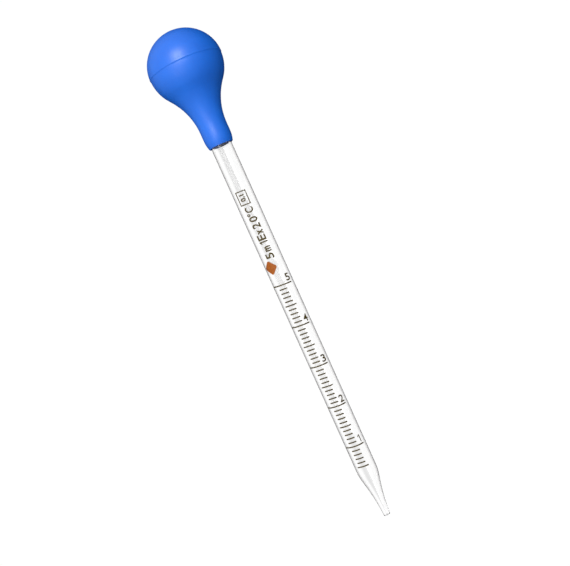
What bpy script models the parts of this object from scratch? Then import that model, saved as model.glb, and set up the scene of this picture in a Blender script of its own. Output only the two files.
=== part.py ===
"""Graduated glass dropper pipette with a rubber squeeze bulb.

The pipette stands upright on the world Z axis with its tip down. The origin is the
centre of the tip's end face. Lengths below are in millimetres and are turned into
metres by MM. Radii are measured from the pipette's axis.

Pieces: the drawn glass tube, the rubber bulb that grips its top end, and the two
opposite areas of the bulb's ball that the thumb and the finger press in.
"""

import math

import bpy

MM = 0.001

# Glass tube
TUBE_RADIUS = 4.925
BORE_RADIUS = 3.925
TUBE_TOP = 204.5
SHOULDER = 23.8  # height at which the tube starts to narrow
TIP_RADIUS = 1.55
ORIFICE_RADIUS = 0.55
TOP_LIP = 0.4  # radius of the fire-polished edges at the wide end
TIP_LIP = 0.3  # radius of the fire-polished edge at the tip
# Handles that shape the two taper curves, as (radius, height)
OUTER_HANDLES = ((TUBE_RADIUS, 19.0), (2.3, 14.0))
INNER_HANDLES = ((BORE_RADIUS, 18.6), (1.5, 13.5))

# Rubber bulb
FIT_GAP = 0.05  # radial gap that stands in for the stretched grip on the glass
GRIP_RADIUS = TUBE_RADIUS + FIT_GAP
NECK_RADIUS = 6.57
MOUTH = 187.6
MOUTH_RADIUS = 5.9  # outside radius just above the lip
MOUTH_ROUNDING = 4.8  # height over which the neck draws in towards the mouth
LIP_RADIUS = 0.45
NECK_TOP = 196.2  # height at which the neck starts to flare
BALL_CENTRE = 226.6
BALL_RADIUS = 17.6
CROWN_HEIGHT = 16.65  # the ball's upper half is a little flatter than a hemisphere
WALL = 2.0

# Press areas, two discs of the ball's wall facing -X and +X
PAD_RADIUS = 10.5
PAD_GAP = 0.3

SEGMENTS = 36
CUTTER_SEGMENTS = 48
MERGE = 1e-5  # metres


def clear_scene():
    for item in list(bpy.data.objects):
        bpy.data.objects.remove(item, do_unlink=True)


def new_collection(name):
    collection = bpy.data.collections.new(name)
    bpy.context.scene.collection.children.link(collection)
    return collection


def plain_material(name, colour, roughness, transmission=0.0):
    material = bpy.data.materials.new(name)
    material.use_nodes = True
    shader = material.node_tree.nodes["Principled BSDF"]
    shader.inputs["Base Color"].default_value = (*colour, 1.0)
    shader.inputs["Roughness"].default_value = roughness
    shader.inputs["Metallic"].default_value = 0.0
    shader.inputs["Transmission Weight"].default_value = transmission
    material.diffuse_color = (*colour, 1.0)
    return material


def arc(centre, radii, start, end, steps):
    """Points on an ellipse about centre, from start to end in degrees, both ends included."""
    points = []
    for i in range(steps + 1):
        angle = math.radians(start + (end - start) * i / steps)
        points.append((centre[0] + radii[0] * math.cos(angle), centre[1] + radii[1] * math.sin(angle)))
    return points


def bezier(start, handles, end, steps):
    """Points on a cubic Bezier curve, both ends included."""
    points = []
    for i in range(steps + 1):
        t = i / steps
        weights = ((1 - t) ** 3, 3 * t * (1 - t) ** 2, 3 * t**2 * (1 - t), t**3)
        corners = (start, *handles, end)
        points.append(tuple(sum(w * c[axis] for w, c in zip(weights, corners)) for axis in (0, 1)))
    return points


def flare_arc():
    """Centre, radius and angle of the concave flare that touches the neck and the ball.

    The centre lies level with the top of the neck. The angle, in degrees, is where the
    flare meets the ball, measured below the ball's equator.
    """
    rise = BALL_CENTRE - NECK_TOP
    radius = (NECK_RADIUS**2 + rise**2 - BALL_RADIUS**2) / (2 * (BALL_RADIUS - NECK_RADIUS))
    centre = (NECK_RADIUS + radius, NECK_TOP)
    angle = math.degrees(math.atan2(rise, centre[0]))
    return centre, radius, angle


def tube_profile():
    """Closed section of the glass, down the outside and back up the bore."""
    outer_top = arc((TUBE_RADIUS - TOP_LIP, TUBE_TOP - TOP_LIP), (TOP_LIP, TOP_LIP), 90, 0, 3)
    outer_end = (TIP_RADIUS, TIP_LIP)
    outer_taper = bezier((TUBE_RADIUS, SHOULDER), OUTER_HANDLES, outer_end, 10)
    tip_edge = arc((TIP_RADIUS - TIP_LIP, TIP_LIP), (TIP_LIP, TIP_LIP), 0, -90, 3)[1:]
    inner_taper = bezier((BORE_RADIUS, SHOULDER), INNER_HANDLES, (ORIFICE_RADIUS, 0.0), 10)
    inner_top = arc((BORE_RADIUS + TOP_LIP, TUBE_TOP - TOP_LIP), (TOP_LIP, TOP_LIP), 180, 90, 3)
    return outer_top + outer_taper + tip_edge + inner_taper[::-1] + inner_top


def bulb_outside():
    """Outside of the bulb, from the crown down to the flat ring of the mouth."""
    centre, radius, angle = flare_arc()
    crown = arc((0.0, BALL_CENTRE), (BALL_RADIUS, CROWN_HEIGHT), 90, 0, 12)
    crown[0] = (0.0, BALL_CENTRE + CROWN_HEIGHT)
    bowl = arc((0.0, BALL_CENTRE), (BALL_RADIUS, BALL_RADIUS), 0, -angle, 6)[1:]
    flare = arc(centre, (radius, radius), 180 - angle, 180, 8)[1:]
    # The neck draws in along a shallow arc that starts upright.
    inset = NECK_RADIUS - MOUTH_RADIUS
    lip_top = MOUTH + LIP_RADIUS
    height = MOUTH_ROUNDING - LIP_RADIUS
    bend = (inset**2 + height**2) / (2 * inset)
    sweep = math.degrees(math.asin(height / bend))
    neck = arc((NECK_RADIUS - bend, lip_top + height), (bend, bend), 0, -sweep, 4)
    lip = arc((MOUTH_RADIUS - LIP_RADIUS, lip_top), (LIP_RADIUS, LIP_RADIUS), 0, -90, 3)[1:]
    return crown + bowl + flare + neck + lip


def bulb_inside():
    """Inside of the bulb, from the mouth up the grip to the hollow's crown."""
    centre, radius, angle = flare_arc()
    radius += WALL
    grip_angle = math.degrees(math.acos((centre[0] - GRIP_RADIUS) / radius))
    flare = arc(centre, (radius, radius), 180 - grip_angle, 180 - angle, 5)
    hollow = BALL_RADIUS - WALL
    bowl = arc((0.0, BALL_CENTRE), (hollow, hollow), -angle, 0, 5)[1:]
    crown = arc((0.0, BALL_CENTRE), (hollow, CROWN_HEIGHT - WALL), 0, 90, 10)[1:]
    crown[-1] = (0.0, BALL_CENTRE + CROWN_HEIGHT - WALL)
    return [(GRIP_RADIUS, MOUTH)] + flare + bowl + crown


def turned(name, profile, base, material, collection, closed):
    """A profile of (radius, height) in mm turned about the upright axis through base."""
    mesh = bpy.data.meshes.new(name)
    points = [(r * MM, 0.0, (z - base) * MM) for r, z in profile]
    edges = [(i, i + 1) for i in range(len(points) - 1)]
    if closed:
        edges.append((len(points) - 1, 0))
    mesh.from_pydata(points, edges, [])
    piece = bpy.data.objects.new(name, mesh)
    piece.location = (0.0, 0.0, base * MM)
    piece.data.materials.append(material)
    collection.objects.link(piece)
    screw = piece.modifiers.new("turn", "SCREW")
    screw.axis = "Z"
    screw.angle = math.tau
    screw.steps = SEGMENTS
    screw.render_steps = SEGMENTS
    screw.use_merge_vertices = True
    screw.merge_threshold = MERGE
    screw.use_smooth_shade = True
    return piece


def cross_cylinder(name, radius, start, end, collection):
    """A cutter along X, level with the ball's centre, from start to end in mm."""
    bpy.ops.mesh.primitive_cylinder_add(
        vertices=CUTTER_SEGMENTS,
        radius=radius * MM,
        depth=abs(end - start) * MM,
        location=((start + end) / 2 * MM, 0.0, BALL_CENTRE * MM),
        rotation=(0.0, math.pi / 2, 0.0),
    )
    cutter = bpy.context.object
    cutter.name = name
    for owner in list(cutter.users_collection):
        owner.objects.unlink(cutter)
    collection.objects.link(cutter)
    cutter.hide_render = True
    cutter.display_type = "WIRE"
    return cutter


def cut(piece, cutter, operation):
    modifier = piece.modifiers.new(operation.lower(), "BOOLEAN")
    modifier.operation = operation
    modifier.solver = "EXACT"
    modifier.object = cutter


def build_tube(parts):
    glass = plain_material("clear_glass", (0.93, 0.95, 0.96), 0.03, transmission=1.0)
    turned("glass_tube", tube_profile(), 0.0, glass, parts, closed=True)


def build_bulb(parts, cutters):
    """The bulb's body and its two press areas, which slide along X through the ball's centre."""
    rubber = plain_material("blue_rubber", (0.02, 0.16, 0.62), 0.55)
    pressed_rubber = plain_material("blue_rubber_press_area", (0.03, 0.22, 0.72), 0.55)
    shell = bulb_outside() + bulb_inside()
    frame = bpy.data.objects.new("bulb_frame", None)
    frame.location = (0.0, 0.0, BALL_CENTRE * MM)
    parts.objects.link(frame)

    reach = BALL_RADIUS + WALL
    body = turned("bulb_body", shell, BALL_CENTRE, rubber, parts, closed=False)
    cut(body, cross_cylinder("press_openings", PAD_RADIUS + PAD_GAP, -reach, reach, cutters), "DIFFERENCE")
    pieces = [body]
    for name, side in (("bulb_thumb_side", -1), ("bulb_finger_side", 1)):
        pad = turned(name, shell, BALL_CENTRE, pressed_rubber, parts, closed=False)
        cut(pad, cross_cylinder(name + "_outline", PAD_RADIUS, 0.0, side * reach, cutters), "INTERSECT")
        pieces.append(pad)
    for piece in pieces:
        piece.parent = frame
        piece.location = (0.0, 0.0, 0.0)


clear_scene()
pipette_parts = new_collection("dropper_pipette")
pipette_cutters = new_collection("cutters")
build_tube(pipette_parts)
build_bulb(pipette_parts, pipette_cutters)
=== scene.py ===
"""Looks of the graduated dropper pipette: clear glass, blue rubber bulb, fired print.

Everything is in metres in the frame's own axes: +Z runs from the tip to the bulb and the
print faces -Y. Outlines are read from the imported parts, so the looks follow the model.
"""

import math

import bmesh
import bpy
import numpy as np
from mathutils import Matrix, Vector, interpolate
from mathutils.bvhtree import BVHTree


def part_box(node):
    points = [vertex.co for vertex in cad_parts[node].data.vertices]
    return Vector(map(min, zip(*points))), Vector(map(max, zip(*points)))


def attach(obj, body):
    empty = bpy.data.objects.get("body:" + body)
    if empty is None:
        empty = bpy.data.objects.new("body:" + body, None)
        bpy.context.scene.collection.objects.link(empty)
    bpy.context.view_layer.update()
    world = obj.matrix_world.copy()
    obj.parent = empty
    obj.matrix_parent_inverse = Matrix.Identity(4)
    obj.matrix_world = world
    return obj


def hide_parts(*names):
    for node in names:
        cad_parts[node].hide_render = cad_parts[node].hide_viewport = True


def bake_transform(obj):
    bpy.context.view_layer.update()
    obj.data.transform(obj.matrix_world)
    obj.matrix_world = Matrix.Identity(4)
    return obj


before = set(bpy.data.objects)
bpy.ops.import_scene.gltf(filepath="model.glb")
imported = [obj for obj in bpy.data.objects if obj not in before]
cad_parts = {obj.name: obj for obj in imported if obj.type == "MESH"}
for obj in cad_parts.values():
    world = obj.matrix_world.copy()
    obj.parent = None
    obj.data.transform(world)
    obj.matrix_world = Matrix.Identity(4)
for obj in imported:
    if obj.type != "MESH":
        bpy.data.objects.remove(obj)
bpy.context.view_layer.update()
glass_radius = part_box("glass_tube")[1].x

MM = 0.001
TOUCH = 1e-6  # metres
PLACES = 7  # decimals kept of a length in metres

# Turned surfaces
BULB_SIDES = 160
GLASS_SIDES = 128
BULB_STEP = 0.5 * MM
GLASS_STEP = 0.4 * MM
CORNER = 32.0  # an outline that turns by more degrees than this keeps its corner
STRAIGHT = 4.0  # a run this many times longer than its neighbour stays straight
FINE_BEND = 8.0  # elsewhere the outline turns by no more than this many degrees at a time
END_SHARE = 0.2  # the longest end piece of a straight run, as a share of it

# Mould's parting line round the ball
SEAM_REACH = 3.2 * MM  # the outline is finer this near to the line
SEAM_STEPS = 48
SEAM_ABOVE = (0.05 * MM, 0.45 * MM)  # how far the wall draws back, and over what height
SEAM_BELOW = (0.20 * MM, 0.30 * MM)
SEAM_FADE = 14 * MM  # the wall is back in place this far from the line

# The bulb is cut beside its neck, into a middle and the two sides where it is squeezed
NECK_REACH = 8 * MM  # how far up from the mouth the neck's width is read
NECK_GAP = 0.05 * MM
SAME_RADIUS = 0.01 * MM
FACES_X = 0.9999  # a face whose normal has this much X is one of the cuts

# Rubber, as (pale, deep)
SATIN_BLUE = ((0.0, 0.128, 0.65), (0.0, 0.108, 0.58))
SATIN_ROUGHNESS = 0.37
# painted shade: the inside of the bulb is the same blue rubber, coloured darker because it lies in
# shade
INSIDE_PAINTED_SHADE_BLUE = ((0.0, 0.04, 0.26), (0.0, 0.03, 0.20))
SHADED_ROUGHNESS = 0.8

# Glass: painted edge shade, how much light is left, from face on (0) to edge on (1); the darker
# edges stand in for the dark surroundings that glass bends and mirrors there
OUTER_PAINTED_EDGE_SHADE = ((0.34, 1.0), (0.45, 0.76), (0.54, 0.50), (0.64, 0.28), (0.80, 0.20), (1.0, 0.20))
BORE_PAINTED_EDGE_SHADE = ((0.0, 1.0), (1.0, 0.97))

# Enamel, as (thick, thin)
BROWN = ((0.030, 0.021, 0.003), (0.100, 0.070, 0.010))
AMBER = ((0.24, 0.055, 0.002), (0.36, 0.10, 0.005))

# All print
TURN_TO_LEFT = 12.3  # the print's middle, in degrees from -Y towards -X
SLANT = 3.0  # the print climbs towards the left by this many degrees
PRINT_LIFT = 0.012 * MM
PRINT_DEPTH = 0.03 * MM
BEND_STEP = 0.35 * MM  # longest straight stretch of print round the glass
SLIVER = 1e-8  # shorter edges are removed
SAME_POINT = 1e-7
LETTER_CURVE = 6  # steps in each curve of a letter
CAPITAL_WEIGHT = 0.02  # how much bolder than the plain typeface
SMALL_WEIGHT = 0.045
FLAG_ROOT = 1.25  # thickness of a figure one's flag at its stem, in strokes
FLAG_END = 0.9  # and at its free end
FLAG_SLOPE = 0.8

# Scale
FIVE_ML = 118.5 * MM
ONE_ML = 20.37 * MM
TENTHS = range(5, 51)  # the marks, in tenths of a millilitre
MARK_WIDTH = 0.60 * MM
WHOLE_MARK = 5.2 * MM  # half lengths
HALF_MARK = 2.85 * MM
TENTH_MARK = 1.98 * MM
NUMERALS = range(1, 6)
NUMERAL_LEFT = -3.05 * MM  # left edge of the 5
NUMERAL_GAP = 0.9 * MM  # from a mark up to its numeral
NUMERAL_DRIFT = 0.09 * MM  # each numeral stands this much further left than the one above
NUMERAL_HEIGHT = 3.6 * MM
NUMERAL_WIDTH = 2.35 * MM
ONE_WIDTH = 1.25 * MM
ONE_STROKE = 0.45 * MM

# Label. Each piece: its text, how far it starts above the 5 ml mark, its width, how far its
# foot is above the label's own, and its height, in mm
CAPITAL = 3.9
SMALL = 2.8
LABEL = {
    "label_capacity": ("5", 13.0, 2.7, 0.0, CAPITAL),
    "label_unit_m": ("m", 16.4, 2.7, 0.0, SMALL),
    "label_unit_l": ("l", 20.3, 1.3, 0.0, CAPITAL),
    "label_delivery_e": ("E", 22.1, 2.7, 0.0, CAPITAL),
    "label_delivery_x": ("x", 25.0, 2.3, 0.0, SMALL),
    "label_temperature_2": ("2", 28.0, 2.4, 0.0, CAPITAL),
    "label_temperature_0": ("0", 31.3, 2.5, 0.0, CAPITAL),
    "label_degree": ("o", 34.0, 1.4, 2.5, 1.5),
    "label_celsius": ("C", 35.8, 2.7, 0.0, CAPITAL),
    "label_division": ("0.1", 41.4, 3.4, 1.35, 2.4),
}
LABEL_FOOT = -2.54 * MM
LABEL_STROKE = 0.62 * MM
DIVISION_FRAME = (6.8 * MM, 5.1 * MM)
DIVISION_FRAME_PLACE = (39.7 * MM, -0.15 * MM)
DIVISION_FRAME_BAR = 0.48 * MM
PATCH = (6.4 * MM, 5.8 * MM)
PATCH_PLACE = (5.8 * MM, 1.1 * MM)
PATCH_CORNER = 0.12  # how much of each corner is cut off

# Camera: where the photograph was taken from
IMAGE_WIDTH = 570
FOCAL_PIXELS = 825
SENSOR = 36.0
CAMERA_DISTANCE = 379.5 * MM
LOOK_HEIGHT = 118.5 * MM
CAMERA_RISE = 20.5 * MM
SIDE_STEP = 0.78 * MM
LEAN = 24.19  # degrees

# Studio
WHITE = 1.02
FLOOR_SIZE = 6.0
FLOOR_DROP = 30 * MM  # how far the floor lies below the tip
GAP_OFFSET = 2.6  # degrees to the left of straight behind
GAP_SHARPNESS = 900
GAP_DEPTH = 0.34
GAP_RISE = 0.28  # how much deeper the gap gets per unit of height in the view direction
SOFT_SIDE = Vector((-0.15, -0.90, 0.35)).normalized()
SOFT_SPAN = (-1.0, 1.0)
SOFT_LEVELS = (0.3, 0.76)  # light on matt surfaces, from the dark side to the bright side
SHINE_SIDE = Vector((-0.51, -0.61, 0.44)).normalized()
SHINE_SPAN = (-0.4, 1.0)
SHINE_LEVELS = (0.0, 1.05)  # what shiny surfaces mirror
LIGHT_TARGET = (0.0, 0.0, 0.2)
KEY_PLACE = (-0.16, -0.95, 0.7)
KEY_SIZE = (0.55, 0.60)
KEY_POWER = 7.2
FILL_PLACE = (-0.5, -0.95, 0.12)
FILL_SIZE = (0.7, 0.7)
FILL_POWER = 5.4


def link(piece):
    bpy.context.scene.collection.objects.link(piece)
    return piece


# ---------------------------------------------------------------- outlines

def section(node):
    """A turned part's own outline, and whether it is closed.

    The outline is its points in the half-plane towards -Y, in order, as (radius, height).
    """
    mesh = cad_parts[node].data
    found = {}
    for v in mesh.vertices:
        if abs(v.co.x) < TOUCH and v.co.y < TOUCH:
            found[v.index] = (round(abs(v.co.y), PLACES), round(v.co.z, PLACES))
    joined = {}
    for edge in mesh.edges:
        a, b = (found.get(i) for i in edge.vertices)
        if a is not None and b is not None and a != b:
            joined.setdefault(a, set()).add(b)
            joined.setdefault(b, set()).add(a)
    ends = [p for p, others in joined.items() if len(others) == 1]
    start = max(ends or joined, key=lambda p: (p[1], p[0]))
    line = [start]
    seen = {start}
    while True:
        following = [p for p in joined[line[-1]] if p not in seen]
        if not following:
            return line, not ends
        step = max(following, key=lambda p: p[0]) if len(line) == 1 else following[0]
        line.append(step)
        seen.add(step)


class Outline:
    """An outline's points, with the run from each point to the next."""

    def __init__(self, points, closed):
        self.points = [Vector(p) for p in points]
        self.closed = closed
        self.count = len(points)
        pairs = range(self.count if closed else self.count - 1)
        self.pairs = [(i, (i + 1) % self.count) for i in pairs]
        self.runs = {a: self.points[b] - self.points[a] for a, b in self.pairs}

    def is_straight(self, i):
        """Whether the run that starts at point i is a long straight one."""
        sides = [self.runs.get((i - 1) % self.count), self.runs.get((i + 1) % self.count)]
        shortest = min(side.length for side in sides if side is not None)
        return self.runs[i].length > STRAIGHT * shortest

    def tangent(self, i, own):
        """Direction at point i, for the curve that replaces the run that starts at own."""
        before = self.runs.get((i - 1) % self.count)
        after = self.runs.get(i)
        if before is None or after is None:
            only = after if before is None else before
            if abs(self.points[i].x) < TOUCH:  # a pole is crossed level
                return Vector((math.copysign(1.0, only.x), 0.0))
            return only.normalized()
        if math.degrees(before.angle(after)) > CORNER:
            return self.runs[own].normalized()
        for start, run in (((i - 1) % self.count, before), (i, after)):
            if self.is_straight(start):
                return run.normalized()
        return (before.normalized() * after.length + after.normalized() * before.length).normalized()

    def smooth(self, step):
        """A fine outline: round stretches become curves, corners and straight runs stay."""
        line = []
        for a, b in self.pairs:
            chord = self.runs[a].length
            leave = self.tangent(a, a) * chord
            arrive = self.tangent(b, a) * chord
            if self.is_straight(a):  # short end pieces keep the long middle's shading straight
                end = min(END_SHARE, step / chord)
                stops = (0.0, end, 1.0 - end)
            else:
                bend = math.degrees(leave.angle(arrive))
                bits = max(1, math.ceil(chord / step), math.ceil(bend / FINE_BEND))
                stops = [k / bits for k in range(bits)]
            for t in stops:
                p = hermite(self.points[a], leave, self.points[b], arrive, t)
                line.append((max(p.x, 0.0), p.y))
        if not self.closed:
            line.append(tuple(self.points[-1]))
        return line


def hermite(start, leave, end, arrive, t):
    """A point on the cubic curve from start to end with the given directions there."""
    from_start = start * (2 * t**3 - 3 * t**2 + 1) + leave * (t**3 - 2 * t**2 + t)
    return from_start + end * (-2 * t**3 + 3 * t**2) + arrive * (t**3 - t**2)


def turn(name, line, closed, sides):
    """A mesh turned about Z from an outline that runs down its outside."""
    verts = []
    rings = []
    for r, z in line:
        if r < TOUCH:
            rings.append([len(verts)] * sides)
            verts.append((0.0, 0.0, z))
            continue
        rings.append(range(len(verts), len(verts) + sides))
        for k in range(sides):
            angle = math.tau * k / sides
            verts.append((r * math.cos(angle), r * math.sin(angle), z))
    faces = []
    for i in range(len(line) if closed else len(line) - 1):
        upper = rings[i]
        lower = rings[(i + 1) % len(line)]
        for k in range(sides):
            n = (k + 1) % sides
            corners = [upper[k], lower[k], lower[n], upper[n]]
            faces.append(list(dict.fromkeys(corners)))  # at a pole two corners are one
    mesh = bpy.data.meshes.new(name)
    mesh.from_pydata(verts, [], faces)
    mesh.shade_smooth()
    return link(bpy.data.objects.new(name, mesh))


def turning_point(line):
    """Where an outline stops running down the outside and starts back up the inside."""
    return next(i for i in range(1, len(line)) if line[i][1] > line[i - 1][1])


def paint(piece, outer, inner, turning, sides):
    """Gives a turned mesh one material outside and another inside, from point turning on."""
    piece.data.materials.append(outer)
    piece.data.materials.append(inner)
    for face in piece.data.polygons:
        face.material_index = int(face.index // sides >= turning - 1)


# ---------------------------------------------------------------- materials

class Nodes:
    """A small helper round the node tree of a new material or world."""

    def __init__(self, owner):
        owner.use_nodes = True
        self.owner = owner
        self.tree = owner.node_tree
        self.shader = self.tree.nodes.get("Principled BSDF")

    def add(self, kind, inputs=None, **settings):
        node = self.tree.nodes.new(kind)
        for key, value in settings.items():
            setattr(node, key, value)
        for key, value in (inputs or {}).items():
            self.set(node, key, value)
        return node

    def set(self, node, key, value):
        socket = node.inputs[key]
        if isinstance(value, bpy.types.NodeSocket):
            self.tree.links.new(value, socket)
        else:
            socket.default_value = value

    def maths(self, operation, *values, **settings):
        inputs = dict(enumerate(values))
        return self.add("ShaderNodeMath", inputs, operation=operation, **settings).outputs[0]

    def mix(self, share, a, b):
        node = self.add("ShaderNodeMix", {0: share, "A": a, "B": b})
        return node.outputs["Result"]

    def noise(self, where, scale, detail, roughness=0.5):
        inputs = {"Vector": where, "Scale": scale, "Detail": detail, "Roughness": roughness}
        return self.add("ShaderNodeTexNoise", inputs).outputs["Fac"]

    def bump(self, height, strength, distance):
        inputs = {"Height": height, "Strength": strength, "Distance": distance}
        return self.add("ShaderNodeBump", inputs).outputs["Normal"]

    def ramp(self, value, stops):
        node = self.add("ShaderNodeValToRGB", {"Fac": value})
        elements = node.color_ramp.elements
        while len(elements) < len(stops):
            elements.new(0.5)
        for element, (place, colour) in zip(elements, stops):
            element.position = place
            element.color = (*colour, 1.0)
        return node.outputs["Color"]


def rubber_material(name, colours, roughness):
    """Satin moulded rubber with a faint powdery bloom, mottling and fine skin."""
    pale, deep = colours
    n = Nodes(bpy.data.materials.new(name))
    where = n.add("ShaderNodeTexCoord").outputs["Object"]
    mottle = n.noise(where, scale=90.0, detail=4.0, roughness=0.6)
    n.set(n.shader, "Base Color", n.ramp(mottle, ((0.3, deep), (0.7, pale))))
    dust = n.noise(where, scale=700.0, detail=3.0)
    span = {"Value": dust, "To Min": roughness - 0.05, "To Max": roughness + 0.06}
    n.set(n.shader, "Roughness", n.add("ShaderNodeMapRange", span).outputs["Result"])
    skin = n.noise(where, scale=2600.0, detail=2.0)
    n.set(n.shader, "Normal", n.bump(skin, strength=0.12, distance=0.05 * MM))
    n.set(n.shader, "IOR", 1.5)
    n.set(n.shader, "Specular IOR Level", 0.65)
    return n.owner


def glass_material(name, edges):
    """Clear borosilicate with painted shade at its edges; edges says how much light is left the more
    it is seen edge on.
    """
    n = Nodes(bpy.data.materials.new(name))
    n.set(n.shader, "Transmission Weight", 1.0)
    n.set(n.shader, "IOR", 1.47)
    n.set(n.shader, "Roughness", 0.0)
    # painted edge shade: the base colour turns grey as the glass is seen more edge on, in place of
    # the dark surroundings it would bend and mirror
    facing = n.add("ShaderNodeLayerWeight", {"Blend": 0.5}).outputs["Facing"]
    painted_edge_greys = [(place, (level, level, level)) for place, level in edges]
    n.set(n.shader, "Base Color", n.ramp(facing, painted_edge_greys))
    return n.owner


def enamel_material(name, colours):
    """Fired screen print: dark where it is thick, lighter where it is starved."""
    thick, thin = colours
    n = Nodes(bpy.data.materials.new(name))
    where = n.add("ShaderNodeTexCoord").outputs["Object"]
    cover = n.noise(where, scale=1500.0, detail=4.0, roughness=0.65)
    n.set(n.shader, "Base Color", n.ramp(cover, ((0.35, thick), (0.75, thin))))
    n.set(n.shader, "Roughness", 0.45)
    n.set(n.shader, "Specular IOR Level", 0.3)
    n.set(n.shader, "Normal", n.bump(cover, strength=0.3, distance=0.02 * MM))
    return n.owner


# ---------------------------------------------------------------- bulb

def seam_band(line, first, last, level):
    """Fine points from one outline point to another that are widest at height level."""
    top = line[first][1]
    bottom = line[last][1]
    widest = max(r for r, z in line[first:last + 1])
    band = []
    for k in range(SEAM_STEPS + 1):
        z = top + (bottom - top) * k / SEAM_STEPS
        end_r, end_z = line[first] if z > level else line[last]
        band.append((widest - (widest - end_r) * ((z - level) / (end_z - level)) ** 2, z))
    return band


def parting_line(line, level):
    """The outline with a low crest at height level, where the mould parted."""
    inside = turning_point(line)
    near = [i for i in range(inside) if abs(line[i][1] - level) < SEAM_REACH]
    first = near[0]
    last = near[-1]
    outline = line[:first] + seam_band(line, first, last, level) + line[last + 1:]
    eased = []
    for i, (r, z) in enumerate(outline):
        away = abs(level - z)
        if i < inside + SEAM_STEPS and r > TOUCH and away < SEAM_FADE:
            drop, run = SEAM_ABOVE if z > level else SEAM_BELOW
            drop *= 1 - math.exp(-((away / run) ** 2))
            r -= drop * (1 - (away / SEAM_FADE) ** 2)
        eased.append((r, z))
    return eased


def keep_normals(piece, source):
    """Gives a cut-out piece the normals of the whole surface, so that its cuts don't show."""
    bm = bmesh.new()
    bm.from_mesh(source.data)
    tree = BVHTree.FromBMesh(bm)
    bm.faces.ensure_lookup_table()
    mesh = piece.data
    smooth = []
    for v in mesh.vertices:
        place, _, index, _ = tree.find_nearest(v.co)
        corners = bm.faces[index].verts
        weights = interpolate.poly_3d_calc([c.co for c in corners], place)
        smooth.append(sum((c.normal * w for c, w in zip(corners, weights)), Vector()).normalized())
    bm.free()
    normals = []
    for face in mesh.polygons:
        flat = abs(face.normal.x) > FACES_X
        normals += [face.normal.copy() if flat else smooth[i] for i in face.vertices]
    mesh.normals_split_custom_set(normals)


def cut_piece(name, whole, low, high):
    """The part of the whole bulb between two planes across X, closed where it is cut."""
    mesh = whole.data.copy()
    mesh.name = name
    piece = link(bpy.data.objects.new(name, mesh))
    bm = bmesh.new()
    bm.from_mesh(mesh)
    for edge, side in ((low, -1), (high, 1)):
        if edge is None:
            continue
        cut = bmesh.ops.bisect_plane(
            bm,
            geom=bm.verts[:] + bm.edges[:] + bm.faces[:],
            plane_co=(edge, 0, 0),
            plane_no=(side, 0, 0),
            clear_outer=True,
        )
        rim = [e for e in cut["geom_cut"] if isinstance(e, bmesh.types.BMEdge)]
        bmesh.ops.triangle_fill(bm, edges=rim, use_beauty=True, use_dissolve=False)
    bmesh.ops.recalc_face_normals(bm, faces=bm.faces[:])
    bm.to_mesh(mesh)
    bm.free()
    keep_normals(piece, whole)
    return piece


def whole_bulb(line, closed, level):
    """The bulb as one turned surface with its parting line."""
    fine = parting_line(Outline(line, closed).smooth(BULB_STEP), level)
    whole = turn("bulb_whole", fine, closed, BULB_SIDES)
    outer = rubber_material("satin_blue_rubber", SATIN_BLUE, SATIN_ROUGHNESS)
    # the inside gets a darker blue as painted shade, since it lies in shade inside the bulb
    inner = rubber_material("inside_painted_shade_rubber", INSIDE_PAINTED_SHADE_BLUE, SHADED_ROUGHNESS)
    paint(whole, outer, inner, turning_point(fine), BULB_SIDES)
    return whole


def build_bulb():
    """The rubber bulb: a middle that holds the glass, and the two sides where it is squeezed."""
    line, closed = section("bulb_body")
    low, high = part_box("bulb_body")
    reach = high.y
    level = next(z for r, z in line if abs(r - reach) < SAME_RADIUS)
    limit = max(r for r, z in line if z < low.z + NECK_REACH) + NECK_GAP
    whole = whole_bulb(line, closed, level)
    body = cut_piece("rubber_bulb", whole, -limit, limit)
    thumb = cut_piece("rubber_bulb_thumb_side", whole, None, -limit)
    finger = cut_piece("rubber_bulb_finger_side", whole, limit, None)
    bpy.data.objects.remove(whole)
    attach(body, "bulb")
    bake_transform(thumb)
    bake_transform(finger)
    nodes = ((body, "bulb_body"), (thumb, "bulb_thumb_side"), (finger, "bulb_finger_side"))
    for piece, node in nodes:
        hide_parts(node)


# ---------------------------------------------------------------- glass

def build_glass():
    line, closed = section("glass_tube")
    fine = Outline(line, closed).smooth(GLASS_STEP)
    tube = turn("graduated_glass_tube", fine, closed, GLASS_SIDES)
    outer = glass_material("clear_borosilicate", OUTER_PAINTED_EDGE_SHADE)
    bore = glass_material("clear_borosilicate_bore", BORE_PAINTED_EDGE_SHADE)
    paint(tube, outer, bore, turning_point(fine), GLASS_SIDES)
    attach(tube, "glass")
    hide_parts("glass_tube")


# ---------------------------------------------------------------- print

def on_glass(around, height, lift):
    """A point on the glass: around is the arc from the print's middle, positive towards -X."""
    angle = math.radians(TURN_TO_LEFT) + around / glass_radius
    r = glass_radius + PRINT_LIFT + lift
    z = height + around * math.tan(math.radians(SLANT))
    return Vector((-r * math.sin(angle), -r * math.cos(angle), z))


def wrap(name, flat, place, material, across=0):
    """Cuts a flat mesh finely across one axis and bends it round with place(x, y, depth)."""
    bm = bmesh.new()
    bm.from_mesh(flat)
    low = min(v.co[across] for v in bm.verts)
    high = max(v.co[across] for v in bm.verts)
    normal = Vector((0, 0, 0))
    normal[across] = 1.0
    for k in range(1, math.ceil((high - low) / BEND_STEP)):
        bmesh.ops.bisect_plane(
            bm,
            geom=bm.verts[:] + bm.edges[:] + bm.faces[:],
            plane_co=normal * (low + k * BEND_STEP),
            plane_no=normal,
        )
    bmesh.ops.dissolve_degenerate(bm, dist=SLIVER, edges=bm.edges[:])
    for v in bm.verts:
        v.co = place(v.co.x, v.co.y, v.co.z)
    if bm.calc_volume(signed=True) < 0:
        bmesh.ops.reverse_faces(bm, faces=bm.faces[:])
    mesh = bpy.data.meshes.new(name)
    bm.to_mesh(mesh)
    bm.free()
    mesh.materials.append(material)
    piece = link(bpy.data.objects.new(name, mesh))
    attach(piece, "glass")


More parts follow.
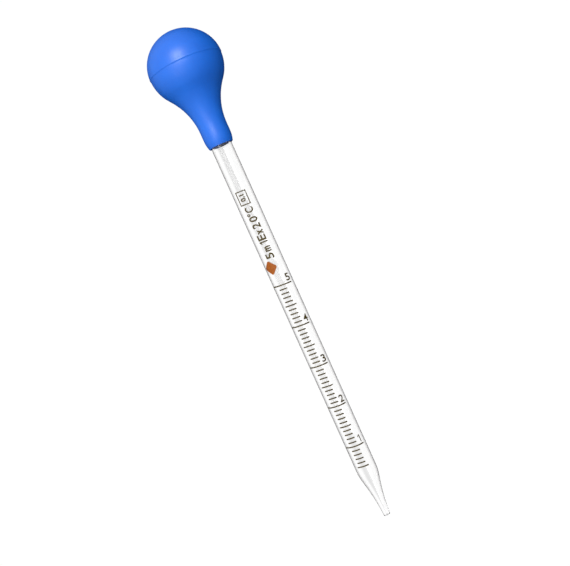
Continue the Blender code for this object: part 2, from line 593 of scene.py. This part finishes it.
def letters(text, width, height, weight):
    """Plain lettering as a flat solid that just fills width by height, from (0, 0)."""
    curve = bpy.data.curves.new(text, "FONT")
    curve.body = text
    curve.offset = weight
    curve.extrude = 0.5  # any depth does, because the solid is scaled below
    curve.resolution_u = LETTER_CURVE
    thing = link(bpy.data.objects.new(text, curve))
    bpy.context.view_layer.update()
    ready = thing.evaluated_get(bpy.context.evaluated_depsgraph_get())
    mesh = bpy.data.meshes.new_from_object(ready)
    bpy.data.objects.remove(thing)
    co = np.array([v.co for v in mesh.vertices])
    low = co.min(0)
    high = co.max(0)
    co = (co - low) / (high - low) * (width, height, PRINT_DEPTH)
    mesh.vertices.foreach_set("co", co.astype(np.float32).ravel())
    bm = bmesh.new()
    bm.from_mesh(mesh)
    bmesh.ops.remove_doubles(bm, verts=bm.verts[:], dist=SAME_POINT)
    bm.to_mesh(mesh)
    bm.free()
    return mesh


def bars(boxes):
    """Flat bars given as (left, bottom, right, top), together in one mesh."""
    bm = bmesh.new()
    for left, bottom, right, top in boxes:
        size = Vector((right - left, top - bottom, PRINT_DEPTH))
        middle = Vector(((left + right) / 2, (bottom + top) / 2, PRINT_DEPTH / 2))
        made = bmesh.ops.create_cube(bm, size=1.0)
        for v in made["verts"]:
            v.co = Vector(a * b for a, b in zip(v.co, size)) + middle
    mesh = bpy.data.meshes.new("bars")
    bm.to_mesh(mesh)
    bm.free()
    return mesh


def plate(outline):
    """A thin flat plate with the given outline."""
    bm = bmesh.new()
    face = bm.faces.new([bm.verts.new((x, y, 0.0)) for x, y in outline])
    raised = bmesh.ops.extrude_face_region(bm, geom=[face])["geom"]
    for v in raised:
        if isinstance(v, bmesh.types.BMVert):
            v.co.z = PRINT_DEPTH
    bmesh.ops.recalc_face_normals(bm, faces=bm.faces[:])
    mesh = bpy.data.meshes.new("plate")
    bm.to_mesh(mesh)
    bm.free()
    return mesh


def one(width, height, stroke):
    """A plain figure one: a stem on the right with a short flag that slopes down from it."""
    stem = width - stroke
    flag_top = height - FLAG_ROOT * stroke
    flag_low = flag_top - FLAG_SLOPE * stem
    return plate([
        (stem, 0.0),
        (width, 0.0),
        (width, height),
        (stem, height),
        (0.0, flag_low + FLAG_END * stroke),
        (0.0, flag_low),
        (stem, flag_top),
    ])


def diamond(width, height):
    """A plain diamond with its corners cut."""
    x = width / 2
    y = height / 2
    less = 1 - PATCH_CORNER
    more = 1 + PATCH_CORNER
    return plate([
        (width, y * less),
        (width, y * more),
        (x * more, height),
        (x * less, height),
        (0.0, y * more),
        (0.0, y * less),
        (x * less, 0.0),
        (x * more, 0.0),
    ])


def build_marks(enamel):
    """A mark at each tenth of a millilitre, longer at the halves and longest at the wholes."""
    half = MARK_WIDTH / 2
    marks = []
    for tenth in TENTHS:
        height = FIVE_ML - (TENTHS[-1] - tenth) / 10 * ONE_ML
        reach = WHOLE_MARK if tenth % 10 == 0 else HALF_MARK if tenth % 5 == 0 else TENTH_MARK
        marks.append((-reach, height - half, reach, height + half))
    wrap("scale_marks", bars(marks), on_glass, enamel)


def build_numerals(enamel):
    """An upright numeral to the right of each whole millilitre's mark."""
    for number in NUMERALS:
        below = NUMERALS[-1] - number
        base = FIVE_ML - below * ONE_ML + NUMERAL_GAP
        if number == 1:
            width = ONE_WIDTH
            flat = one(width, NUMERAL_HEIGHT, ONE_STROKE)
        else:
            width = NUMERAL_WIDTH
            flat = letters(str(number), width, NUMERAL_HEIGHT, CAPITAL_WEIGHT)
        left = NUMERAL_LEFT + below * NUMERAL_DRIFT - (NUMERAL_WIDTH - width) / 2

        def upright(x, y, depth, base=base, left=left):
            return on_glass(left - x, base + y, depth)

        wrap(f"numeral_{number}", flat, upright, enamel)


def sideways(start, foot):
    """Where a piece of the label goes, as it is read from the tip towards the bulb."""
    return lambda x, y, depth: on_glass(LABEL_FOOT + foot + y, FIVE_ML + start + x, depth)


def build_label(enamel):
    """Capacity, kind of delivery, temperature and smallest division, in plain lettering."""
    for name, (text, start, width, foot, height) in LABEL.items():
        if text == "l":
            flat = one(width * MM, height * MM, LABEL_STROKE)
        else:
            weight = CAPITAL_WEIGHT if height == CAPITAL else SMALL_WEIGHT
            flat = letters(text, width * MM, height * MM, weight)
        wrap(name, flat, sideways(start * MM, foot * MM), enamel, across=1)


def build_division_frame(enamel):
    """A plain frame round the smallest division."""
    wide, tall = DIVISION_FRAME
    bar = DIVISION_FRAME_BAR
    sides = bars([
        (0.0, 0.0, wide, bar),
        (0.0, tall - bar, wide, tall),
        (0.0, bar, bar, tall - bar),
        (wide - bar, bar, wide, tall - bar),
    ])
    place = sideways(*DIVISION_FRAME_PLACE)
    wrap("label_frame", sides, place, enamel, across=1)


def build_print():
    """The scale and its label, and a plain colour patch between them."""
    brown = enamel_material("fired_enamel", BROWN)
    amber = enamel_material("amber_enamel", AMBER)
    build_marks(brown)
    build_numerals(brown)
    build_label(brown)
    build_division_frame(brown)
    place = sideways(*PATCH_PLACE)
    wrap("colour_patch", diamond(*PATCH), place, amber, across=1)


# ---------------------------------------------------------------- stage

def panels(w, way):
    """Two white panels behind the pipette with a narrow grey gap, seen bent by the glass."""
    split = w.add("ShaderNodeSeparateXYZ", {0: way})
    azimuth = w.maths("ARCTAN2", split.outputs["Y"], split.outputs["X"])
    off = w.maths("SUBTRACT", azimuth, math.radians(90 + GAP_OFFSET))
    wave = w.maths("MULTIPLY", w.maths("ADD", w.maths("COSINE", off), 1.0), 0.5)
    depth = w.maths("MULTIPLY_ADD", split.outputs["Z"], GAP_RISE, GAP_DEPTH, use_clamp=True)
    gap = w.maths("MULTIPLY", w.maths("POWER", wave, GAP_SHARPNESS), depth)
    return w.maths("MULTIPLY", w.maths("SUBTRACT", 1.0, gap), WHITE)


def glow(w, way, side, span, levels):
    """Light that grows smoothly towards one side."""
    towards = w.add("ShaderNodeVectorMath", {0: way, 1: side}, operation="DOT_PRODUCT")
    ends = dict(zip(("From Min", "From Max", "To Min", "To Max"), (*span, *levels)))
    inputs = {"Value": towards.outputs["Value"], **ends}
    node = w.add("ShaderNodeMapRange", inputs, interpolation_type="SMOOTHSTEP")
    return node.outputs["Result"]


def build_world():
    """White to the camera and through the glass; a one-sided studio for all other light."""
    world = bpy.data.worlds.new("studio")
    bpy.context.scene.world = world
    w = Nodes(world)
    w.tree.nodes.clear()
    way = w.add("ShaderNodeTexCoord").outputs["Generated"]
    ray = w.add("ShaderNodeLightPath").outputs
    soft = glow(w, way, SOFT_SIDE, SOFT_SPAN, SOFT_LEVELS)
    shine = glow(w, way, SHINE_SIDE, SHINE_SPAN, SHINE_LEVELS)
    studio = w.mix(ray["Is Glossy Ray"], soft, shine)
    through = w.mix(ray["Is Transmission Ray"], studio, panels(w, way))
    seen = w.mix(ray["Is Camera Ray"], through, WHITE)
    background = w.add("ShaderNodeBackground", {"Color": (1, 1, 1, 1), "Strength": seen})
    w.add("ShaderNodeOutputWorld", {"Surface": background.outputs[0]})


def area_light(name, place, size, power):
    light = bpy.data.lights.new(name, "AREA")
    light.shape = "RECTANGLE"
    light.size, light.size_y = size
    light.energy = power
    lamp = bpy.data.objects.new(name, light)
    lamp.location = place
    way = Vector(LIGHT_TARGET) - Vector(place)
    lamp.rotation_euler = way.to_track_quat("-Z", "Y").to_euler()
    return link(lamp)


def build_lights():
    area_light("key", KEY_PLACE, KEY_SIZE, KEY_POWER)
    fill = area_light("fill", FILL_PLACE, FILL_SIZE, FILL_POWER)
    fill.visible_glossy = False


def build_camera():
    """A camera level with the middle of the glass, leaning as the photograph does."""
    data = bpy.data.cameras.new("camera")
    data.sensor_width = SENSOR
    data.lens = FOCAL_PIXELS / IMAGE_WIDTH * SENSOR
    camera = link(bpy.data.objects.new("camera", data))
    run = math.sqrt(CAMERA_DISTANCE**2 - CAMERA_RISE**2)
    place = Vector((SIDE_STEP, -run, LOOK_HEIGHT + CAMERA_RISE))
    target = Vector((SIDE_STEP, 0.0, LOOK_HEIGHT))
    look = (target - place).to_track_quat("-Z", "Y").to_matrix().to_4x4()
    lean = Matrix.Rotation(math.radians(-LEAN), 4, "Z")
    camera.matrix_world = Matrix.Translation(place) @ look @ lean
    bpy.context.scene.camera = camera


def build_floor():
    """A pale floor that glows white by itself and takes no part in the lighting."""
    bpy.ops.mesh.primitive_plane_add(size=FLOOR_SIZE, location=(0, 0, -FLOOR_DROP))
    floor = bpy.context.object
    floor.name = "floor"
    n = Nodes(bpy.data.materials.new("white_floor"))
    n.set(n.shader, "Base Color", (0.0, 0.0, 0.0, 1.0))
    n.set(n.shader, "Specular IOR Level", 0.0)
    n.set(n.shader, "Emission Color", (1, 1, 1, 1))
    n.set(n.shader, "Emission Strength", WHITE)
    floor.data.materials.append(n.owner)
    floor.visible_diffuse = False
    floor.visible_glossy = False
    floor.visible_transmission = False


bpy.context.scene.view_settings.view_transform = "Standard"
build_camera()
build_world()
build_floor()
build_lights()
build_bulb()
build_glass()
build_print()
